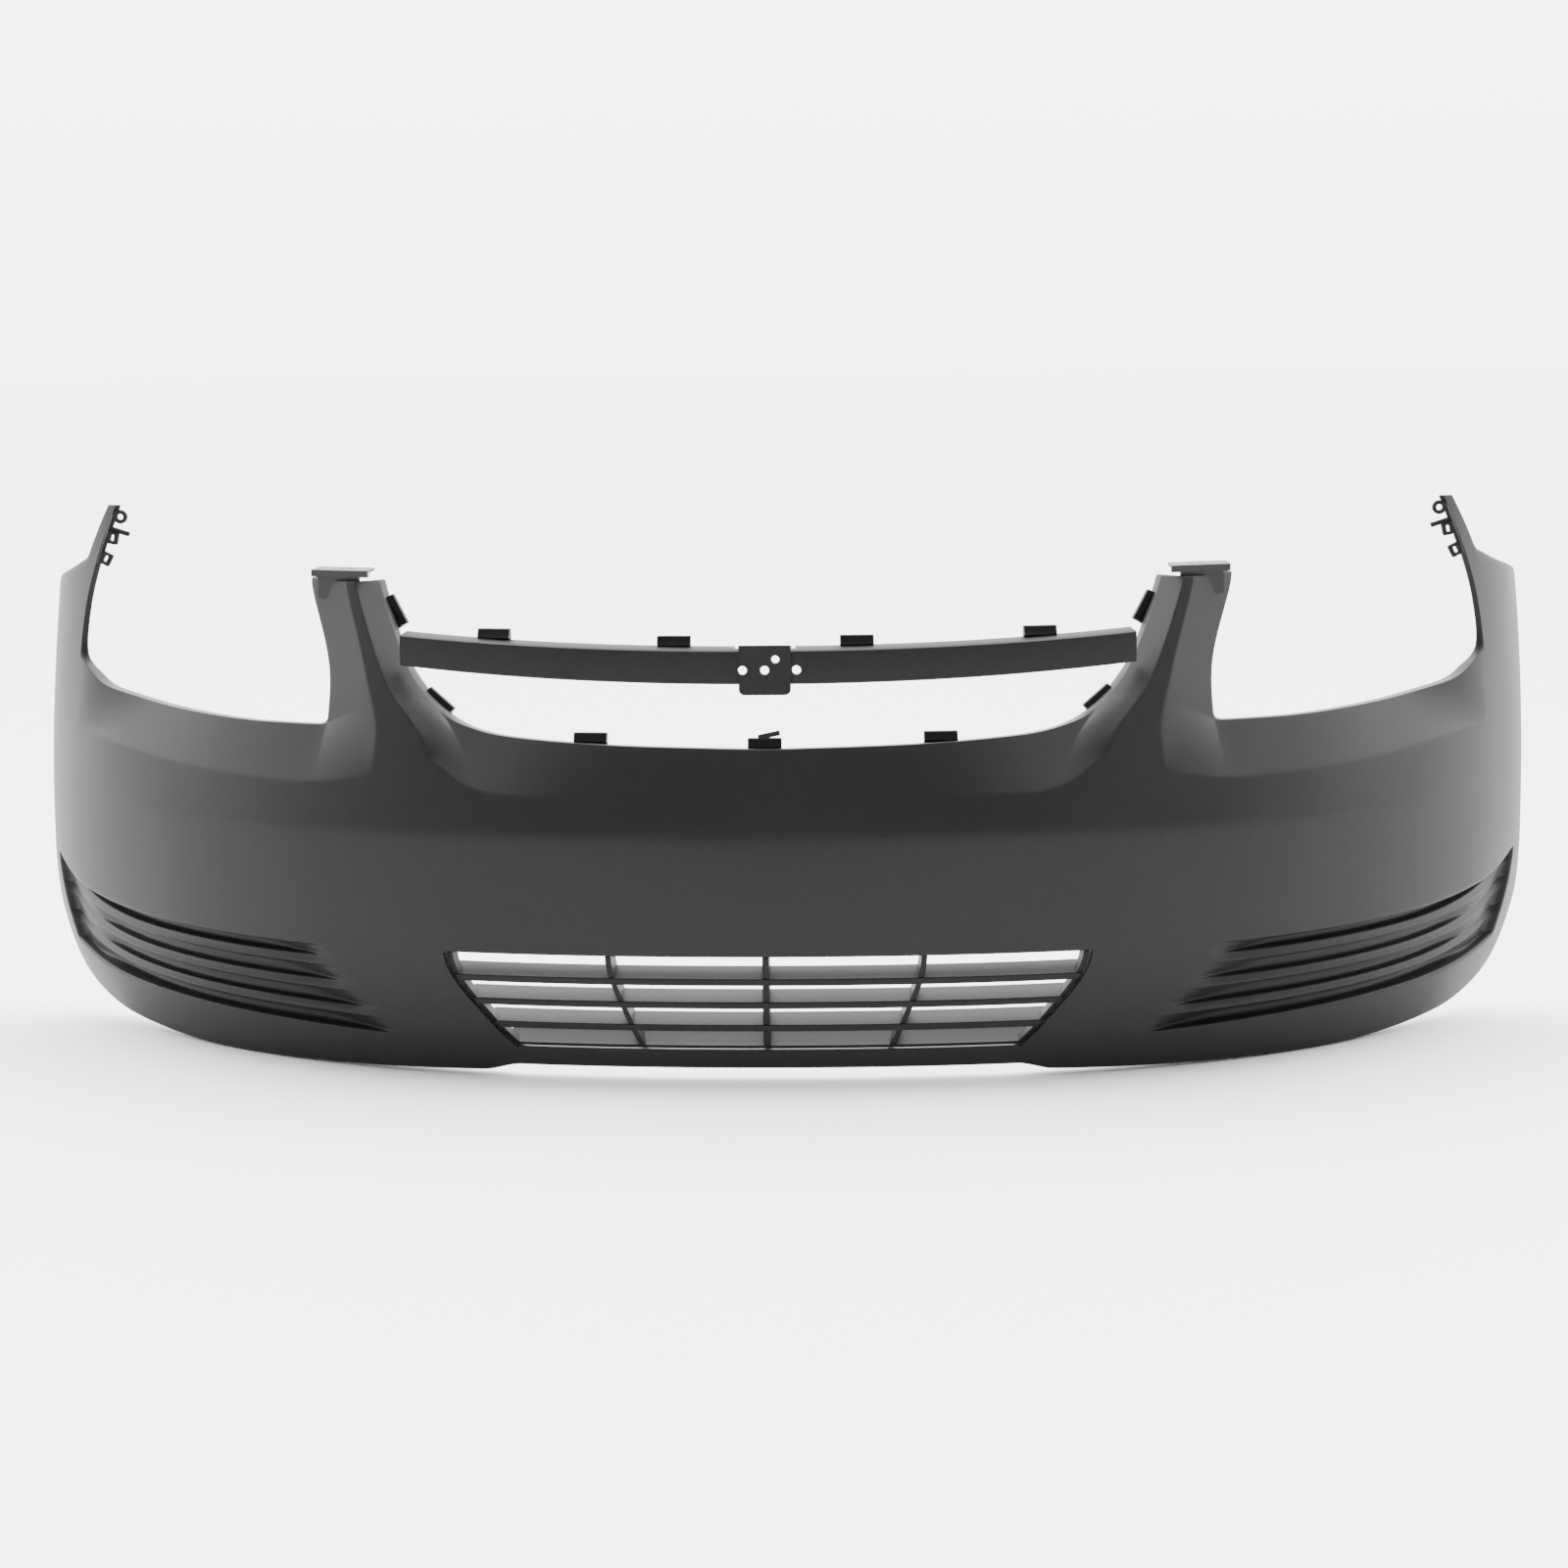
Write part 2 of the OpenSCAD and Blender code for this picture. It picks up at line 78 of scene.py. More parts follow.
def step(a, b, x):
    u = min(1.0, max(0.0, (x - a) / (b - a)))
    return u * u * (3 - 2 * u)


N_PLAN = 360


def plan_at(t):
    return HALF_WIDTH * math.sin(t) ** PLAN_POWER, PLAN_DEPTH * (1 - math.cos(t))


LENGTHS = [0.0]
for k in range(1, N_PLAN + 1):
    p, q = plan_at(math.pi / 2 * (k - 1) / N_PLAN), plan_at(math.pi / 2 * k / N_PLAN)
    LENGTHS.append(LENGTHS[-1] + math.dist(p, q))


def plan_angle(a):
    lo, hi = 0, N_PLAN
    if a >= LENGTHS[-1]:
        return math.pi / 2
    while hi - lo > 1:
        mid = (lo + hi) // 2
        if LENGTHS[mid] <= a:
            lo = mid
        else:
            hi = mid
    return math.pi / 2 * (lo + (a - LENGTHS[lo]) / (LENGTHS[hi] - LENGTHS[lo])) / N_PLAN


def normal_at(t):
    if t < 0.009:
        return 0.0, -1.0
    x = HALF_WIDTH * PLAN_POWER * math.sin(t) ** (PLAN_POWER - 1) * math.cos(t)
    y = PLAN_DEPTH * math.sin(t)
    q = math.hypot(x, y)
    return y / q, -x / q


def at(s, h, z):
    """Point at distance s along the plan, h out from it, at height z, in metres."""
    t = plan_angle(abs(s))
    (px, py), (nx, ny) = plan_at(t), normal_at(t)
    g = -1 if s < 0 else 1
    return Vector(((g * (px + nx * h) - ORIGIN[0]) * DRAW_IN_X,
                   (py + ny * h - ORIGIN[1]) * DRAW_IN_Y,
                   z - ORIGIN[2] + DRAW_UP)) / 1000


# ---------------------------------------------------------------- lines of the skin
# height lines: distance along the plan, height
bottom_line = [(0, 16), (260, 16), (300, 8), (640, 1), (840, 16), (940, 50), (1005, 135)]
sill_line = [(0, 37), (260, 37), (400, 43), (750, 62), (920, 88), (960, 118), (1005, 152)]
lower_head_line = [(0, 136), (460, 136), (720, 143), (860, 156), (1015, 192)]
bulge_line = [(0, 255), (1160, 265)]
crease_line = [(0, 292), (270, 296), (310, 305), (355, 330), (380, 328), (430, 310), (500, 302),
               (630, 308), (820, 325), (1160, 342)]
opening_line = [(0, 342), (200, 347), (280, 351), (345, 366), (370, 384), (402, 388), (460, 369),
                (500, 357), (560, 357), (700, 363), (835, 378), (895, 404), (940, 416), (1160, 430)]
shoulder_line = [(0, 455), (520, 455), (870, 522), (915, 514), (960, 500), (1110, 478)]
top_line = [(0, 503), (440, 503), (560, 506), (600, 573), (1160, 573)]
ROWS = [bottom_line, sill_line, lower_head_line, bulge_line, crease_line, opening_line,
        shoulder_line, top_line]

# width lines: height, distance along the plan
centre_line = [(0, 0), (600, 0)]
inner_line = [(37, 215), (136, 262), (500, 262)]
grille_line = [(37, 262), (60, 284), (136, 331), (310, 306), (340, 322), (405, 393), (450, 424),
               (510, 458)]
scoop_line = [(0, 290), (42, 300), (136, 362), (256, 352), (330, 353), (405, 412), (500, 466)]
column_line = [(0, 325), (42, 335), (136, 400), (256, 420), (345, 414), (405, 434), (500, 478)]
lamp_inner_line = [(0, 375), (42, 387), (136, 462), (256, 480), (360, 489), (400, 493), (500, 540)]
lamp_low_line = [(0, 420), (136, 500), (360, 528), (600, 590)]
lamp_high_line = [(0, 790), (136, 815), (380, 835), (600, 835)]
lamp_outer_line = [(0, 830), (165, 870), (340, 886), (415, 900), (450, 900), (575, 864)]
fin_line = [(0, 900), (90, 925), (180, 968), (250, 980), (330, 980), (410, 940), (510, 912),
            (575, 878)]
arch_line = [(134, 1003), (280, 1025), (380, 1060), (480, 1110)]
COLS = [centre_line, inner_line, grille_line, scoop_line, column_line, lamp_inner_line,
        lamp_low_line, lamp_high_line, lamp_outer_line, fin_line, arch_line]

# lean, bend, tuck and rounding of the form by distance along the plan
lean = [(0, 0.33), (450, 0.33), (650, 0.21), (850, 0.15), (1000, 0.065), (1160, 0.05)]
bend = [(0, 0), (450, 0), (650, 0.00022), (850, 0.0001), (1160, 0.0001)]
tuck = [(0, 40), (300, 40), (650, 48), (850, 50), (1000, 42), (1160, 30)]
rounding = [(0, 18), (200, 8), (700, 8), (900, 60), (1160, 80)]


def ramp(d, r):
    return (math.sqrt(d * d + r * r) + d - r) / 2


def stand_in(s, z):
    """Distance out from the plan curve to the form, negative where the form lies inside it."""
    a = abs(s)
    d = z - curve(bulge_line, a)
    h = -curve(lean, a) * ramp(d, curve(rounding, a)) - curve(bend, a) * max(d, 0) ** 2
    if z < 210:
        h -= curve(tuck, a) * ((210 - z) / 210) ** 2.6
    return h


# ---------------------------------------------------------------- the grid of the skin
def even(n):
    return [k / n for k in range(n + 1)]


# louvre section from the top of the field down: share of the height, depth, and how long the
# depth takes to fade in at the inner end
D = LOUVRE
BARS, BAR_START, BAR_PITCH = 3, .150, .285
SLOT = [(0, 0, 1), (.008, .6, 90), (.022, D, 90), (.075, D, 80)]
for k in range(BARS):
    top = BAR_START + k * BAR_PITCH
    SLOT += [(top - .027, D * .92, 50), (top - .010, 6, 45), (top, 4.4, 40), (top + .043, 2.4, 40),
             (top + .086, .9, 40), (top + .096, 1.5, 60), (top + .111, D, 90), (top + .185, D, 75)]
SLOT += [(.968, D * .8, 45), (.985, 3, 35), (.993, .8, 30), (1, 0, 1)]

COL_PARTS = [even(8), [0, .22, .44, .64, .8, .91, .975, 1], [0, .04, .13, .38, .66, .9, 1],
             [0, .08, .3, .5, .7, .92, 1], [0, .08, .26, .5, .74, .92, .98, 1],
             [0, .07, .22, .45, .7, 1], even(12), [0, .3, .58, .82, .95, 1],
             [0, .06, .25, .5, .75, .93, 1], [0, .07, .2, .4, .6, .8, .94, 1]]
ROW_PARTS = [[0, .1, .35, .65, .9, 1], [1 - q[0] for q in reversed(SLOT)],
             [0, .05, .22, .45, .7, .93, 1], [0, .12, .38, .68, .92, 1],
             [0, .07, .25, .5, .75, .93, .98, 1], [0, .05, .18, .36, .57, .78, 1],
             [0, .25, .5, .75, .95, 1]]


def layout(parts, first):
    """Grid index of each line, and (block, share) of each index."""
    marks, where = [first], {first: (0, 0.0)}
    for b, part in enumerate(parts):
        for k in range(1, len(part)):
            where[marks[-1] + k] = (b, part[k])
        marks.append(marks[-1] + len(part) - 1)
    return marks, where


N_SKIRT, N_ARCH, N_RING = 2, 2, 2
CB, COL_AT = layout(COL_PARTS, 0)
RB, ROW_AT = layout(ROW_PARTS, N_SKIRT)
NI, NJ = CB[10] + N_ARCH, RB[7]
RING_BACK = [2.5, FLANGE]
SKIRT_BACK = {0: SKIRT, 1: 3.0}
ARCH_BACK = [3.0, 18.0]


def across(lines, at_, k, x):
    b, f = at_[k]
    return curve(lines[b], x) * (1 - f) + curve(lines[b + 1], x) * f


MEET_FROM, MEET_TURNS = 250, 22


def meet(i, j):
    """Distance and height at which column i crosses row j, closed in on by turns."""
    s = across(COLS, COL_AT, i, MEET_FROM)
    z = across(ROWS, ROW_AT, j, s)
    for _ in range(MEET_TURNS):
        z = (z + across(ROWS, ROW_AT, j, s)) / 2
        s = (s + across(COLS, COL_AT, i, z)) / 2
    return s, z


CROSS = {(i, j): meet(i, j) for j in range(RB[0], NJ + 1) for i in range(CB[10] + 1)}


def share(at_, marks, a, b, k):
    """How far grid index k is from line a to line b, from 0 to 1."""
    if k <= marks[a]:
        return 0.0
    if k >= marks[b]:
        return 1.0
    return at_[k][1] if b == a + 1 else (k - marks[a]) / (marks[b] - marks[a])


def recess(i, j, s):
    """How far the skin steps back above the crease: bay by the opening, ledge by the headlamp."""
    if j <= RB[4]:
        return 0.0
    v = share(ROW_AT, RB, 4, 5, j)
    bay = 1 - share(COL_AT, CB, 2, 3, i)
    if bay > 0:
        return BAY * step(120, 340, s) * bay * v / (bay + v - bay * v + 1e-6)
    lamp = share(COL_AT, CB, 4, 5, i)
    lamp *= 1 - step(760, 890, s)
    if lamp > 0:
        return LEDGE * lamp * v / (lamp + v - lamp * v + 1e-6)
    return 0.0


SLOT_UP = list(reversed(SLOT))
LOUVRE_SINK, TIP, TIP_FADE, SHALLOW = 9, 905, 110, 2.2


def louvre(i, j, s):
    """Depth of the louvre field, as a negative distance out from the form."""
    if i <= CB[5] or i >= CB[9] or j <= RB[1] or j >= RB[2]:
        return 0.0
    place, depth, fade = SLOT_UP[j - RB[1]]
    field = LOUVRE_SINK * step(640, 930, s)
    deep = depth * step(0, fade, s - CROSS[CB[5], j][0])
    if depth > 7 and deep > SHALLOW:
        # the slots run out towards the arch, the top one 40 mm further on
        tip = TIP + 40 * (place < .13)
        deep = SHALLOW + (deep - SHALLOW) * (1 - step(tip - TIP_FADE, tip, s))
    return -(field + deep)


def node(i, j):
    """One grid point as (s, h, z), and the direction of the wall's thickness there."""
    low = RB[1] < j < RB[2] and i < CB[2]
    bay = j > RB[5] and i < CB[2]
    lamp = j > RB[5] and CB[5] < i < CB[8]
    ie, je, back = min(i, CB[10]), max(j, RB[0]), 0.0
    if low:
        di, dj, dk = CB[2] - i, j - RB[1], RB[2] - j
        level = min(di, dj, dk)
        ie = CB[2] if di == level else i
        je = RB[1] if dj == level else RB[2] if dk == level else j
        back = RING_BACK[min(level, N_RING) - 1]
    elif bay:
        di, dj = CB[2] - i, j - RB[5]
        level = min(di, dj)
        ie, je = (CB[2] if di == level else i), (RB[5] if dj == level else j)
        back = RING_BACK[min(level, N_RING) - 1]
    elif lamp:
        di, dk, dj = i - CB[5], CB[8] - i, j - RB[5]
        level = min(di, dk, dj)
        ie = CB[5] if di == level else CB[8] if dk == level else i
        je = RB[5] if dj == level else j
        back = RING_BACK[min(level, N_RING) - 1]
        if ie == CB[8]:
            back *= FIN_FLANGE / FLANGE
    if i > CB[10]:
        back = ARCH_BACK[i - CB[10] - 1]
    if j < RB[0]:
        back = SKIRT_BACK[j]
    s, z = CROSS[ie, je]
    h = stand_in(s, z) - recess(ie, je, s) + louvre(ie, je, s)
    on_low = RB[1] <= je <= RB[2] and ie <= CB[2]
    on_bay = je >= RB[5] and ie <= CB[2]
    on_lamp = je >= RB[5] and CB[5] <= ie <= CB[8]
    ds = dz = 0
    if (on_low or on_bay) and ie == CB[2]:
        ds = 1
    elif on_lamp and ie == CB[5]:
        ds = -1
    elif on_lamp and ie == CB[8]:
        ds = 1
    elif ie == CB[10]:
        ds = -1
    elif je > RB[5] and CB[2] < ie < CB[3]:
        ds = 1 - share(COL_AT, CB, 2, 3, ie)
    if je == RB[0]:
        dz = 1
    elif on_low and je == RB[1]:
        dz = -1
    elif on_low and je == RB[2]:
        dz = 1
    elif (on_bay or on_lamp) and je == RB[5]:
        dz = -1
    dh = 0 if back else -1
    return (s, h - back, z + (2 if j < RB[0] else 0)), (ds * WALL, dh * WALL, dz * WALL)


def cell_on(i, j):
    """Whether the skin has a face in this cell of the grid."""
    if i < 0:
        return cell_on(-i - 1, j)
    if j < 0 or j >= NJ or i >= NI:
        return False
    if j < RB[0]:
        return i < CB[10]
    low = RB[1] <= j < RB[2] and i < CB[2]
    bay = j >= RB[5] and i < CB[2]
    lamp = j >= RB[5] and CB[5] <= i < CB[8]
    if low:
        return i >= CB[2] - N_RING or j < RB[1] + N_RING or j >= RB[2] - N_RING
    if bay:
        return i >= CB[2] - N_RING or j < RB[5] + N_RING
    if lamp:
        return i < CB[5] + N_RING or i >= CB[8] - N_RING or j < RB[5] + N_RING
    if j >= RB[6]:
        return i < CB[9]
    return True


# ---------------------------------------------------------------- building helpers
def add_mesh(name, points, faces, material, smooth=True):
    me = bpy.data.meshes.new(name)
    me.from_pydata([tuple(p) for p in points], [], faces)
    me.validate()
    bm = bmesh.new()
    bm.from_mesh(me)
    loose = [v for v in bm.verts if not v.link_faces]
    bmesh.ops.delete(bm, geom=loose, context="VERTS")
    bmesh.ops.recalc_face_normals(bm, faces=bm.faces)
    bm.to_mesh(me)
    bm.free()
    for p in me.polygons:
        p.use_smooth = smooth
    me.materials.append(material)
    ob = bpy.data.objects.new(name, me)
    bpy.context.scene.collection.objects.link(ob)
    return ob


def piece(ob, slot, *nodes):
    """Tell the frame what a piece rides on and hide the CAD nodes it replaces; slot is not used."""
    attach(ob, "root")
    if nodes:
        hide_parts(*nodes)
    return ob


def subdivide(ob, levels=2):
    m = ob.modifiers.new("smooth", "SUBSURF")
    m.levels = levels
    m.render_levels = levels


def bevel(ob, width, segments=3, angle=28):
    m = ob.modifiers.new("round", "BEVEL")
    m.width = width / 1000
    m.segments = segments
    m.limit_method = "ANGLE"
    m.angle_limit = math.radians(angle)
    m.harden_normals = True


def loft(rings):
    """Points and faces of a closed solid through a row of rings."""
    n, last = len(rings[0]), len(rings) - 1
    points = [p for r in rings for p in r]
    faces = [(k * n + p, k * n + (p + 1) % n, (k + 1) * n + (p + 1) % n, (k + 1) * n + p)
             for k in range(last) for p in range(n)]
    faces += [tuple(range(n - 1, -1, -1)), tuple(last * n + p for p in range(n))]
    return points, faces


def merge(parts):
    points, faces = [], []
    for p, f in parts:
        faces += [tuple(v + len(points) for v in q) for q in f]
        points += list(p)
    return points, faces


def local(s, h, z, lift=0.0):
    """Matrix of a local frame on the plan: X along it, Y inward, Z up, turned by lift about Y."""
    nx, ny = normal_at(plan_angle(abs(s)))
    g = -1 if s < 0 else 1
    turn = Matrix.Rotation(g * math.atan2(nx, -ny), 4, "Z")
    return Matrix.Translation(at(s, h, z)) @ turn @ Matrix.Rotation(lift, 4, "Y")


# ---------------------------------------------------------------- materials
def plastic(name, base, rough, grain, grain_scale, speck=0.12, spec=0.5, drift=0.10):
    """Moulded plastic: base colour with slow drift and fine speckle, grain in bump and roughness."""
    mat = bpy.data.materials.new(name)
    mat.use_nodes = True
    nt = mat.node_tree
    bsdf = nt.nodes["Principled BSDF"]
    coord = nt.nodes.new("ShaderNodeTexCoord")

    def noise(scale, detail, roughness):
        n = nt.nodes.new("ShaderNodeTexNoise")
        n.inputs["Scale"].default_value = scale
        n.inputs["Detail"].default_value = detail
        n.inputs["Roughness"].default_value = roughness
        nt.links.new(coord.outputs["Object"], n.inputs["Vector"])
        return n

    slow = noise(5.0, 3.0, 0.55)
    fine = noise(grain_scale, 2.0, 0.6)
    tone = nt.nodes.new("ShaderNodeMapRange")
    tone.inputs["To Min"].default_value = 1 - drift
    tone.inputs["To Max"].default_value = 1 + drift
    nt.links.new(slow.outputs["Fac"], tone.inputs["Value"])
    dots = nt.nodes.new("ShaderNodeMapRange")
    dots.inputs["To Min"].default_value = 1 - speck
    dots.inputs["To Max"].default_value = 1 + speck
    nt.links.new(fine.outputs["Fac"], dots.inputs["Value"])
    both = nt.nodes.new("ShaderNodeMath")
    both.operation = "MULTIPLY"
    nt.links.new(tone.outputs["Result"], both.inputs[0])
    nt.links.new(dots.outputs["Result"], both.inputs[1])
    colour = nt.nodes.new("ShaderNodeVectorMath")
    colour.operation = "SCALE"
    colour.inputs[0].default_value = base
    nt.links.new(both.outputs["Value"], colour.inputs["Scale"])
    nt.links.new(colour.outputs["Vector"], bsdf.inputs["Base Color"])
    gloss = nt.nodes.new("ShaderNodeMapRange")
    gloss.inputs["To Min"].default_value = rough - 0.05
    gloss.inputs["To Max"].default_value = rough + 0.05
    nt.links.new(slow.outputs["Fac"], gloss.inputs["Value"])
    nt.links.new(gloss.outputs["Result"], bsdf.inputs["Roughness"])
    bump = nt.nodes.new("ShaderNodeBump")
    bump.inputs["Strength"].default_value = grain
    bump.inputs["Distance"].default_value = 0.0003
    nt.links.new(fine.outputs["Fac"], bump.inputs["Height"])
    nt.links.new(bump.outputs["Normal"], bsdf.inputs["Normal"])
    bsdf.inputs["Specular IOR Level"].default_value = spec
    return mat


COVER = plastic("cover_moulded", (0.0095, 0.0095, 0.0098), 0.46, 0.25, 900.0, spec=0.16)
TRIM = plastic("trim_grained", (0.0085, 0.0085, 0.0088), 0.5, 0.5, 700.0, spec=0.14)
# clips, retainers and emblem backing: dark plastic, darkened further as painted shade for the clips
# and retainers tucked behind the edges
DARK_CLIP_AND_SHADE = plastic("clip_dark_and_painted_shade", (0.0045, 0.0045, 0.0047), 0.42, 0.2, 1200.0, spec=0.14)
BRACKET = plastic("bracket_moulded", (0.014, 0.014, 0.0145), 0.5, 0.3, 900.0, spec=0.18)


# ---------------------------------------------------------------- skin
def build_skin():
    nodes = {(i, j): node(i, j) for j in range(NJ + 1) for i in range(NI + 1)}
    width = 2 * NI + 1

    def ident(i, j):
        return j * width + i + NI

    outer, inner = [], []
    for j in range(NJ + 1):
        for i in range(-NI, NI + 1):
            (s, h, z), (ds, dh, dz) = nodes[abs(i), j]
            g = -1 if i < 0 else 1
            outer.append(at(g * s, h, z))
            inner.append(at(g * (s + ds), h + dh, z + dz))
    m = len(outer)
    faces = []
    for j in range(NJ):
        for i in range(-NI, NI):
            if not cell_on(i, j):
                continue
            a, b, c, d = ident(i, j), ident(i + 1, j), ident(i + 1, j + 1), ident(i, j + 1)
            faces += [(a, b, c, d), (m + d, m + c, m + b, m + a)]
            if not cell_on(i, j - 1):
                faces.append((b, a, m + a, m + b))
            if not cell_on(i, j + 1):
                faces.append((d, c, m + c, m + d))
            if not cell_on(i - 1, j):
                faces.append((a, d, m + d, m + a))
            if not cell_on(i + 1, j):
                faces.append((c, b, m + b, m + c))
    ob = add_mesh("cover_skin", outer + inner, faces, COVER)
    subdivide(ob)
    return piece(ob, "cover_plastic", "bumper_skin")


build_skin()


# ---------------------------------------------------------------- crossbar and emblem plate
BAR_FACE, BAR_END, BAR_Z, BAR_RISE, BAR_H, BAR_T = -58.0, 399.0, 404.0, 16.0, 34.0, 18.0
EMBLEM_HOLES = [(-22.3, 418.5, 4.5), (0, 418.5, 4.5), (10.8, 429.5, 4.0), (32, 418.5, 4.5)]


def bar_low(s):
    return BAR_Z + BAR_RISE * (s / BAR_END) ** 2


def bar_high(s):
    return bar_low(s) + BAR_H - 3 * (s / BAR_END) ** 2


def bar_ring(s):
    z, t, w, b = bar_low(s), bar_high(s) - bar_low(s), 3, BAR_T
    section = [(0, 1.2), (0, t - 3), (-0.5, t - 1.2), (-2, t), (-b, t + 3), (-b, t),
               (-w - 1.5, t - w + 0.5), (-w, t - w - 0.5), (-w, w), (2 - b, w), (2 - b, 0), (-1.2, 0)]
    return [at(s, BAR_FACE + q[0], z + q[1]) for q in section]


def cylinder(r, depth, n=40):
    """Closed cylinder along Y, centred, as points and faces in metres."""
    pts = [Vector((r * math.cos(2 * math.pi * k / n), y, r * math.sin(2 * math.pi * k / n))) / 1000
           for y in (-depth / 2, depth / 2) for k in range(n)]
    faces = [(k, (k + 1) % n, n + (k + 1) % n, n + k) for k in range(n)]
    return pts, faces + [tuple(range(n - 1, -1, -1)), tuple(range(n, 2 * n))]


def block(x0, x1, y0, y1, z0, z1):
    pts = [Vector((x, y, z)) / 1000 for x in (x0, x1) for y in (y0, y1) for z in (z0, z1)]
    return pts, [(0, 1, 3, 2), (4, 6, 7, 5), (0, 4, 5, 1), (2, 3, 7, 6), (0, 2, 6, 4), (1, 5, 7, 3)]


def moved(part, dx, dy, dz):
    d = (Vector((dx, dy, dz)) - Vector(ORIGIN)) / 1000
    return [p + d for p in part[0]], part[1]


def turned(part, m):
    return [m @ p for p in part[0]], part[1]


def cut(ob, parts):
    """Take closed solids out of a piece, leaving a plain mesh."""
    for part in parts:
        tool = add_mesh("cutter", part[0], part[1], ob.data.materials[0], smooth=False)
        m = ob.modifiers.new("cut", "BOOLEAN")
        m.operation = "DIFFERENCE"
        m.solver = "EXACT"
        m.object = tool
        bpy.context.view_layer.update()
        me = bpy.data.meshes.new_from_object(ob.evaluated_get(bpy.context.evaluated_depsgraph_get()))
        ob.modifiers.clear()
        ob.data = me
        bpy.data.objects.remove(tool)


bores = [moved(cylinder(r, 30), x, 60, z) for x, z, r in EMBLEM_HOLES]
bar = add_mesh("crossbar", *loft([bar_ring(BAR_END * k / 40) for k in range(-40, 41)]), TRIM)
NOTCH = 28.4
notches = [moved(block(-2, 2, 10, 22, BAR_Z + BAR_H, BAR_Z + BAR_H + 10), x, -BAR_FACE, 0)
           for x in (-NOTCH, NOTCH)]
cut(bar, bores + notches)
bevel(bar, 0.8, 2, 35)
piece(bar, "trim_plastic", "upper_crossbar")


def plate():
    w, r, low, high = 26.2, 6.0, BAR_Z - 10.5, BAR_Z + 39.5
    outline = [(w, high), (-w, high)]
    outline += [(-w + r + r * math.cos(a), low + r + r * math.sin(a))
                for a in [math.radians(d) for d in range(180, 271, 10)]]
    outline += [(w - r + r * math.cos(a), low + r + r * math.sin(a))
                for a in [math.radians(d) for d in range(270, 361, 10)]]
    rings = [[(Vector((x, -BAR_FACE - y, z)) - Vector(ORIGIN)) / 1000 for x, z in outline]
             for y in (3, 0)]
    ob = add_mesh("emblem_backing", *loft(rings), DARK_CLIP_AND_SHADE)
    cut(ob, bores[:3])
    bevel(ob, 0.7, 2, 35)
    piece(ob, "clip_plastic", "emblem_plate")


plate()


# ---------------------------------------------------------------- lower grille insert
FLOOR_Z, ROOF_Z, GAP = 37.6, 135.6, 1.2
SLATS, SLAT_H, SLAT_D, SLAT_RISE = 3, 7.0, 30.0, 9.0
RIB, RIB_AT, CHEEK_D = 6.0, .485, 16


def grille_point(f, back, z):
    s = f * (curve(grille_line, z) - GAP)
    return at(s, stand_in(s, z) - 3 - back, z)


def strip(profile, n=48):
    return loft([[grille_point(k / n, b, z) for b, z in profile] for k in range(-n, n + 1)])


def rib_part(f, depth=SLAT_D):
    rings = []
    for k in range(13):
        z = FLOOR_Z + .4 + (ROOF_Z - FLOOR_Z - .8) * k / 12
        w = RIB / 2 / curve(grille_line, z)
        rings.append([grille_point(f + w, 2, z), grille_point(f - w, 2, z),
                      grille_point(f - w, depth + 2, z), grille_point(f + w, depth + 2, z)])
    return loft(rings)


def lower_grille():
    pitch = (ROOF_Z - FLOOR_Z) / (SLATS + 1)
    for k in range(1, SLATS + 1):
        low = ROOF_Z - k * pitch - 2 - SLAT_H / 2
        ob = add_mesh("grille_slat_%d" % k, *strip([
            (0, low), (0, low + SLAT_H), (SLAT_D, low + SLAT_H + SLAT_RISE),
            (SLAT_D, low + SLAT_RISE)]), TRIM)
        bevel(ob, 1.2)
        piece(ob, "trim_plastic", "lower_grille")
    rest = merge([strip([(2, FLOOR_Z), (2, FLOOR_Z + 3), (14, FLOOR_Z + 6), (30, FLOOR_Z + 14),
                         (48, FLOOR_Z + 24), (48, FLOOR_Z + 21), (30, FLOOR_Z + 11),
                         (14, FLOOR_Z + 3)]),
                  strip([(17, ROOF_Z - 2.4), (17, ROOF_Z), (34, ROOF_Z), (34, ROOF_Z - 2.4)])])
    ob = add_mesh("grille_floor", *rest, TRIM)
    bevel(ob, 0.8)
    piece(ob, "trim_plastic", "lower_grille")
    ribs = [rib_part(f) for f in (-RIB_AT, 0, RIB_AT)]
    ribs += [rib_part(f * (1 - RIB / 2 / 320), CHEEK_D) for f in (-1, 1)]
    ob = add_mesh("grille_ribs", *merge(ribs), TRIM)
    bevel(ob, 1.0)
    piece(ob, "trim_plastic", "lower_grille")


lower_grille()


# ---------------------------------------------------------------- spring clips
def clip_part(w=34.0, h=10.0):
    section = [(0.05, -9), (0.05, 0.05), (-4, 0.05), (-4.2, 2.2), (-3.2, 3.6), (-1.6, h - 1),
               (-0.6, h), (4.2, h), (5, h - 1), (5, -7), (3, -9)]
    return loft([[Vector((x, y, z)) / 1000 for y, z in section] for x in (-w / 2, w / 2)])


def clips(name, places, node_name, h=10.0, extra=()):
    """One piece of identical clips of height h, with any extra part joined in."""
    parts = [turned(clip_part(h=h), m) for m in places] + list(extra)
    ob = add_mesh(name, *merge(parts), DARK_CLIP_AND_SHADE)
    bevel(ob, 0.6, 2)
    piece(ob, "clip_plastic", node_name)


def sill_back(s, z):
    return stand_in(s, z) - BAY * step(120, 340, abs(s)) - FLANGE


clips("crossbar_clips", [local(s, BAR_FACE - BAR_T, bar_high(s) + 3) for s in (-295, -96, 96, 295)],
      "crossbar_grille_clips")
sill_places = [local(s, sill_back(s, curve(opening_line, abs(s))), curve(opening_line, abs(s)))
               for s in (-182, 0, 182)]
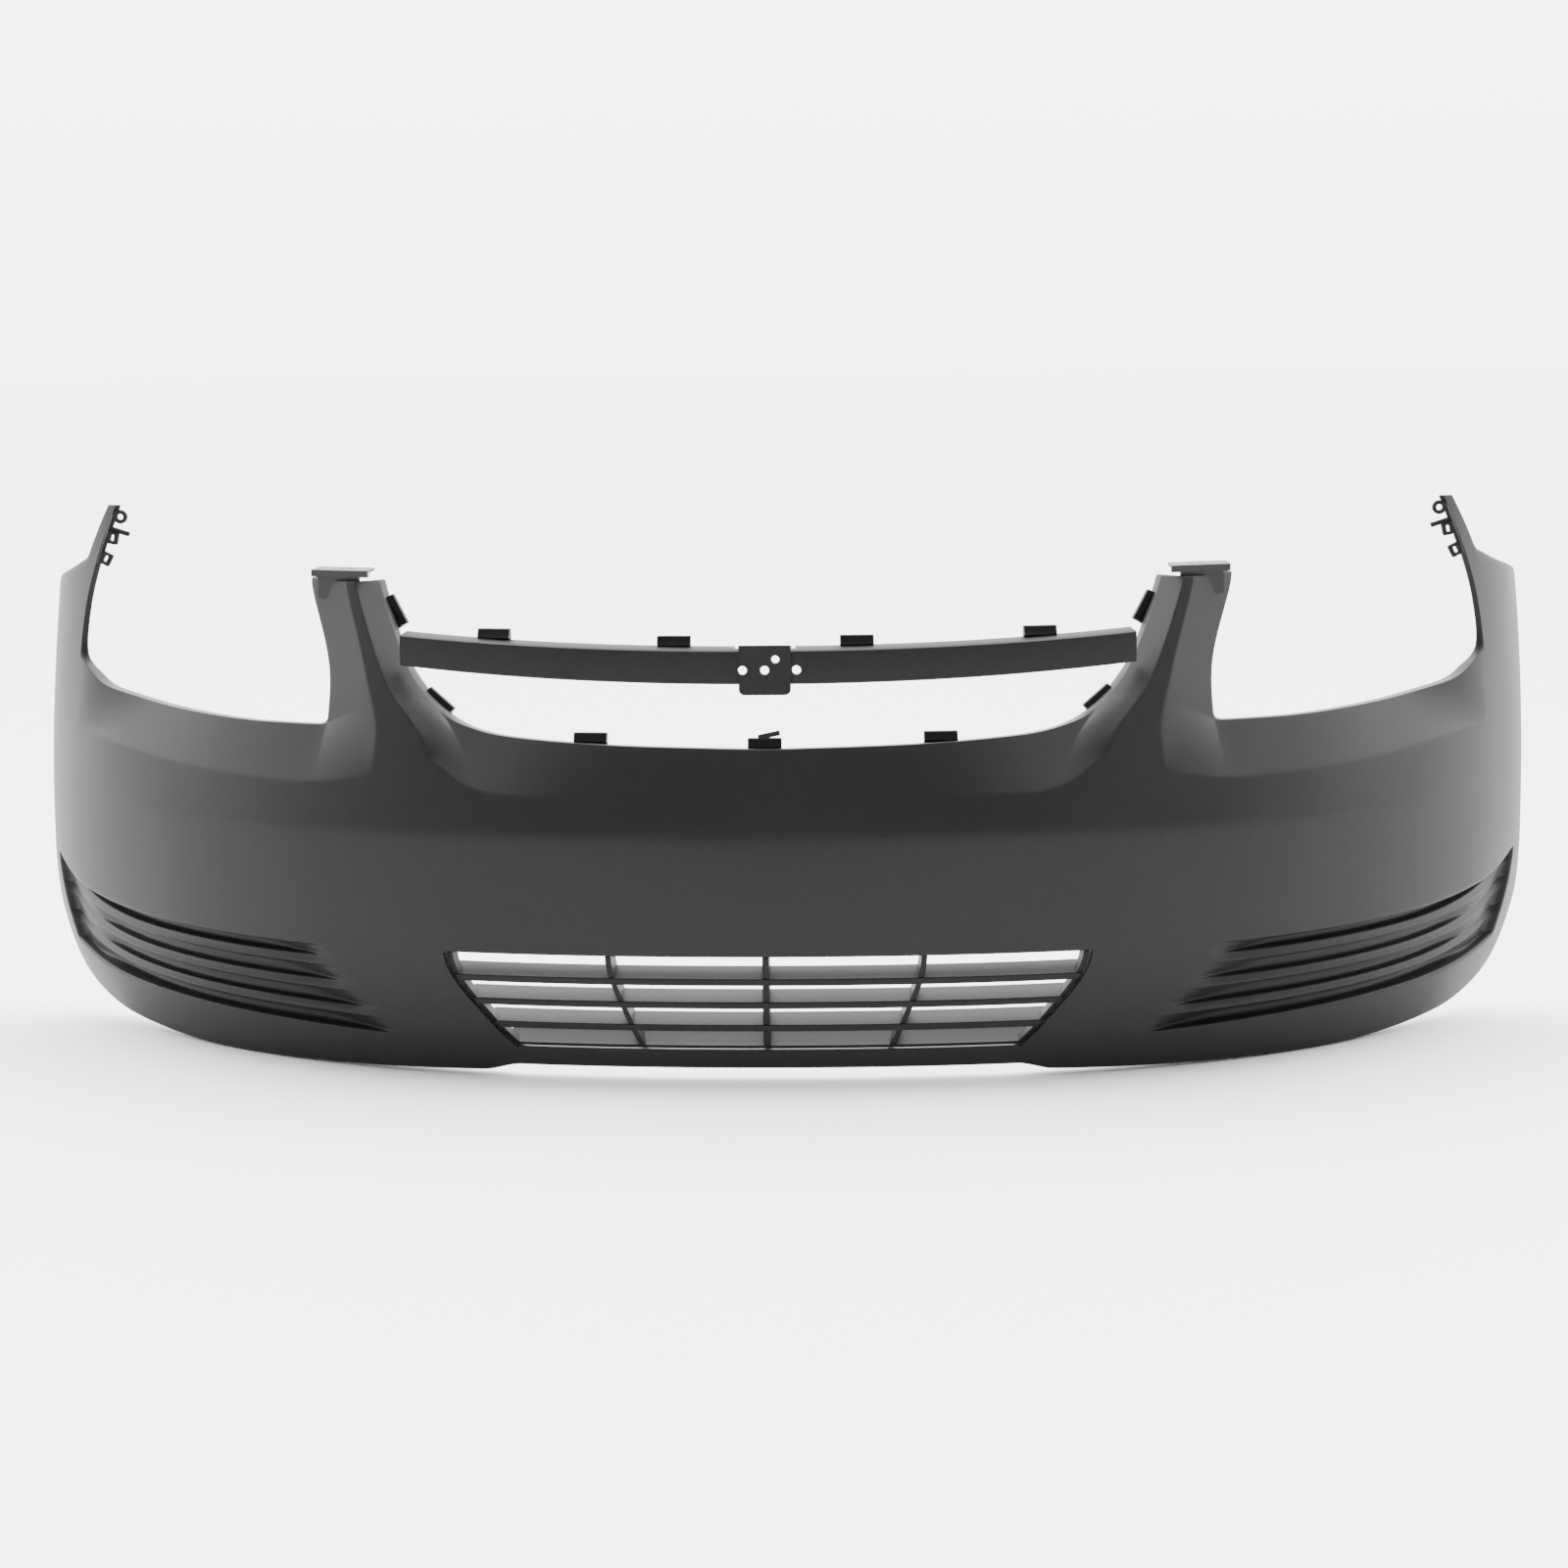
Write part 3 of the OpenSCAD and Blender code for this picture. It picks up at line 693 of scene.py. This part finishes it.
# the lever on the middle clip of the sill
lever = turned(block(0, 22, 0, 3.5, 0, 5), sill_places[1] @ Matrix.Translation((-.006, .0005, .008))
               @ Matrix.Rotation(math.radians(-12), 4, "Y"))
clips("sill_clips", sill_places, "sill_grille_clips", extra=[lever])
for side, word in ((1, "left"), (-1, "right")):
    places = []
    for z in (380, 470):
        s = curve(grille_line, z)
        m = (curve(grille_line, z + 8) - curve(grille_line, z - 8)) / 16
        places.append(local(side * s, stand_in(s, z) - BAY - FLANGE, z, -side * math.atan2(1, m)))
    clips(word + "_column_clips", places, word + "_column_grille_clips", 7.0)


# ---------------------------------------------------------------- fender retainers
def edge_base(side, z, ds, back):
    s = curve(lamp_outer_line, z)
    return at(side * (s - ds), stand_in(s, z) - back, z)


def oval(w, h, r, n=10):
    """Outline of a rectangle with round corners, in x and z."""
    pts = []
    for k, (cx, cz) in enumerate(((1, 1), (-1, 1), (-1, -1), (1, -1))):
        for j in range(n + 1):
            a = math.pi / 2 * (k + j / n)
            pts.append((cx * (w / 2 - r) + r * math.cos(a), cz * (h / 2 - r) + r * math.sin(a)))
    return pts


def eye_part(side, z, reach, tilt, outer, inner, depth=6.0):
    """Eye on the strip: a band between two outlines, open from front to back."""
    centre = edge_base(side, z, 8.5, 1) + Vector((-side * reach, 2.5, 0)) / 1000
    lean = Matrix.Rotation(-side * math.radians(tilt), 3, "Y")
    pts, faces = [], []
    for (ox, oz), (ix, iz) in zip(outer, inner):
        for x, y, h in ((ix, 0, iz), (ox, 0, oz), (ox, depth, oz), (ix, depth, iz)):
            pts.append(centre + (lean @ Vector((side * x, 0, h)) + Vector((0, y, 0))) / 1000)
    n = len(outer)
    for k in range(n):
        for q in range(4):
            faces.append((k * 4 + q, k * 4 + (q + 1) % 4,
                          ((k + 1) % n) * 4 + (q + 1) % 4, ((k + 1) % n) * 4 + q))
    return pts, faces


SLOTTED = oval(13, 14, 2), oval(3.4, 7.2, 1.6)
ROUND = oval(15, 15, 7.49), oval(6.5, 6.5, 3.24)
# height, distance inward, tilt and outlines of each eye
EYES = [(560, 6.2, 0, ROUND), (537, 5.2, 12, SLOTTED), (514, 5.4, 28, SLOTTED)]
for side, word in ((1, "left"), (-1, "right")):
    strip_rings = [[edge_base(side, 508 + 4.5 * k, q[0], q[1])
                    for q in ((.2, 1), (3.2, 1), (3.2, FIN_FLANGE - 1), (.2, FIN_FLANGE - 1))]
                   for k in range(13)]
    parts = [loft(strip_rings)]
    parts += [eye_part(side, z, reach, tilt, *outlines) for z, reach, tilt, outlines in EYES]
    root = edge_base(side, 549.2, 2, 4)
    finger = block(-21, 0, 0, 5, -5, 0) if side > 0 else block(0, 21, 0, 5, -5, 0)
    parts.append(turned(finger, Matrix.Translation(root) @ Matrix.Rotation(
        math.radians(-18 * side), 4, "Y")))
    ob = add_mesh(word + "_retainer", *merge(parts), DARK_CLIP_AND_SHADE)
    bevel(ob, 0.6, 2)
    piece(ob, "clip_plastic", word + "_fender_retainer")


# ---------------------------------------------------------------- column caps
CAP_TOP, CAP_DEPTH = 514.0, 48.0
CAP_HOLES = [(446, 195), (436, 178)]


def cap_line(side, inset, first, last, z):
    ends = [first + (last - first) * k / 8 for k in range(9)]
    return [at(side * s, stand_in(s, 500) - inset, z) for s in ends]


def slab(side, z0, z1, front, depth=0.0, back=None):
    """Closed slab between heights, from a front line back by a depth or to a second line."""
    rings = []
    for z in (z0, z1):
        line = cap_line(side, front[0], front[1], front[2], z)
        far = (cap_line(side, back, front[1], front[2], z) if back
               else [p + Vector((0, depth / 1000, 0)) for p in line])
        rings.append(line + far[::-1])
    return loft(rings)


for side, word in ((1, "left"), (-1, "right")):
    plate_front = (WALL + .3, 452, 526)
    shell = merge([slab(side, CAP_TOP - 3, CAP_TOP, plate_front, CAP_DEPTH),
                   slab(side, CAP_TOP - 7, CAP_TOP - 2.9, plate_front, 12),
                   slab(side, CAP_TOP - 30, CAP_TOP - 5, (WALL + 4, 466, 520), back=WALL + 7)])
    along_y, faces = cylinder(3.5, 30)
    upright = [Vector((p.x, p.z, p.y)) for p in along_y], faces
    drills = [moved(upright, side * x, y, CAP_TOP) for x, y in CAP_HOLES]
    ob = add_mesh(word + "_cap", *shell, BRACKET)
    cut(ob, drills)
    bevel(ob, 0.6, 2)
    piece(ob, "bracket_plastic", word + "_column_bracket")


# ---------------------------------------------------------------- camera, floor, light
AZIMUTH, ELEVATION, ROLL = 2.2, 8.0, 0.55
TARGET, DISTANCE, LENS = (9.0, 300.0, 269.0), 3.6, 76.4


def look():
    """Camera at the photographed angle: angles in degrees, target in the plan frame in mm."""
    az, el, roll = math.radians(AZIMUTH), math.radians(ELEVATION), math.radians(ROLL)
    back = Vector((math.sin(az) * math.cos(el), -math.cos(az) * math.cos(el), math.sin(el)))
    right = Vector((math.cos(az), math.sin(az), 0))
    up = back.cross(right)
    right, up = (right * math.cos(roll) - up * math.sin(roll),
                 up * math.cos(roll) + right * math.sin(roll))
    target = (Vector(TARGET) - Vector(ORIGIN)) / 1000
    cam = bpy.data.cameras.new("camera")
    cam.sensor_width = 36.0
    cam.lens = LENS
    cam.clip_end = 200.0
    cam.dof.use_dof = False
    ob = bpy.data.objects.new("camera", cam)
    bpy.context.scene.collection.objects.link(ob)
    m = Matrix((right, up, back)).transposed().to_4x4()
    m.translation = target + back * DISTANCE
    ob.matrix_world = m
    bpy.context.scene.camera = ob


look()


def floor():
    mat = bpy.data.materials.new("floor_white")
    mat.use_nodes = True
    bsdf = mat.node_tree.nodes["Principled BSDF"]
    bsdf.inputs["Base Color"].default_value = (0.97, 0.97, 0.97, 1)
    bsdf.inputs["Roughness"].default_value = 0.9
    bsdf.inputs["Specular IOR Level"].default_value = 0.1
    w = 40.0
    ob = add_mesh("floor", [(-w, -w, 0), (w, -w, 0), (w, w, 0), (-w, w, 0)], [(0, 1, 2, 3)], mat,
                  smooth=False)


floor()


def area(name, place, aim, size, power, size_y=None):
    li = bpy.data.lights.new(name, "AREA")
    li.energy = power
    li.shape = "RECTANGLE"
    li.size = size
    li.size_y = size_y or size
    ob = bpy.data.objects.new(name, li)
    ob.location = place
    ob.rotation_euler = (Vector(aim) - Vector(place)).to_track_quat("-Z", "Y").to_euler()
    bpy.context.scene.collection.objects.link(ob)


area("key_top", (0.0, 0.3, 3.4), (0, 0, 0.3), 3.2, 55, 2.0)
area("side_left", (-3.0, -0.5, 1.3), (-0.6, 0.0, 0.35), 1.2, 30, 1.4)
area("side_right", (3.0, -0.5, 1.3), (0.6, 0.0, 0.35), 1.2, 30, 1.4)

DOME_FRONT, DOME_BACK, HORIZON, DOME_TOP = 0.15, 9.0, 0.62, 1.3


def dome():
    """Studio dome, dim in front of the cover and bright behind it."""
    world = bpy.data.worlds.new("studio")
    bpy.context.scene.world = world
    world.use_nodes = True
    nt = world.node_tree
    coord = nt.nodes.new("ShaderNodeTexCoord")
    axes = nt.nodes.new("ShaderNodeSeparateXYZ")
    nt.links.new(coord.outputs["Generated"], axes.inputs["Vector"])

    def ramp_along(axis, first, last, low, high):
        n = nt.nodes.new("ShaderNodeMapRange")
        n.inputs["From Min"].default_value = first
        n.inputs["From Max"].default_value = last
        n.inputs["To Min"].default_value = low
        n.inputs["To Max"].default_value = high
        nt.links.new(axes.outputs[axis], n.inputs["Value"])
        return n

    level = ramp_along("Y", -0.55, 0.6, DOME_FRONT, DOME_BACK)
    level.interpolation_type = "SMOOTHSTEP"
    height = ramp_along("Z", 0.0, 0.6, HORIZON, DOME_TOP)
    both = nt.nodes.new("ShaderNodeMath")
    both.operation = "MULTIPLY"
    nt.links.new(level.outputs["Result"], both.inputs[0])
    nt.links.new(height.outputs["Result"], both.inputs[1])
    nt.links.new(both.outputs["Value"], nt.nodes["Background"].inputs["Strength"])
    nt.nodes["Background"].inputs["Color"].default_value = (1, 1, 1, 1)


dome()
